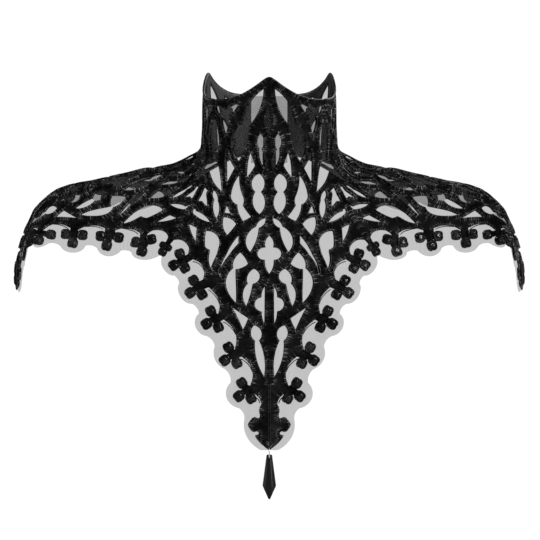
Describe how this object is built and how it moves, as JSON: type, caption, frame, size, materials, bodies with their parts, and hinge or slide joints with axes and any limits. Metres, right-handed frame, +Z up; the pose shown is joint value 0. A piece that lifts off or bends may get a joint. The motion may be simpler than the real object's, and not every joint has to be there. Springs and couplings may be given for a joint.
{
  "type": "lace neckpiece",
  "caption": "Black gothic lace collar with a pointed bib and two pointed shoulder flaps on sheer scalloped net, with a faceted drop hanging at the point.",
  "frame": {"origin": "on the axis of the neck, at the height where the collar's front runs into the chest", "axes": "+X to the viewer's right across the shoulders, the wearer faces -Y, +Z up along the collar"},
  "size_m": [0.444, 0.175, 0.354],
  "materials": {
    "lace": "satin-stitch embroidery",
    "net": "sheer tulle",
    "tape": "plain woven tape",
    "ring": "polished wire",
    "stone": "opaque black, faceted"
  },
  "bodies": {
    "neckpiece": {"front_lace": "lace", "right_shoulder_lace": "lace", "left_shoulder_lace": "lace", "front_net": "net", "right_shoulder_net": "net", "left_shoulder_net": "net", "back_net": "net", "back_closure": "tape"},
    "ring": {"jump_ring": "ring"},
    "drop": {"drop": "stone"}
  },
  "joints": [
    {"name": "ring_swing", "type": "hinge", "parent": "neckpiece", "child": "ring", "pos_m": [0, -0.10479, -0.19837], "axis": [0, 1, 0], "range_deg": [-35, 35]},
    {"name": "drop_swing", "type": "hinge", "parent": "ring", "child": "drop", "pos_m": [0, -0.10479, -0.20342], "axis": [1, 0, 0], "range_deg": [-60, 60]}
  ]
}
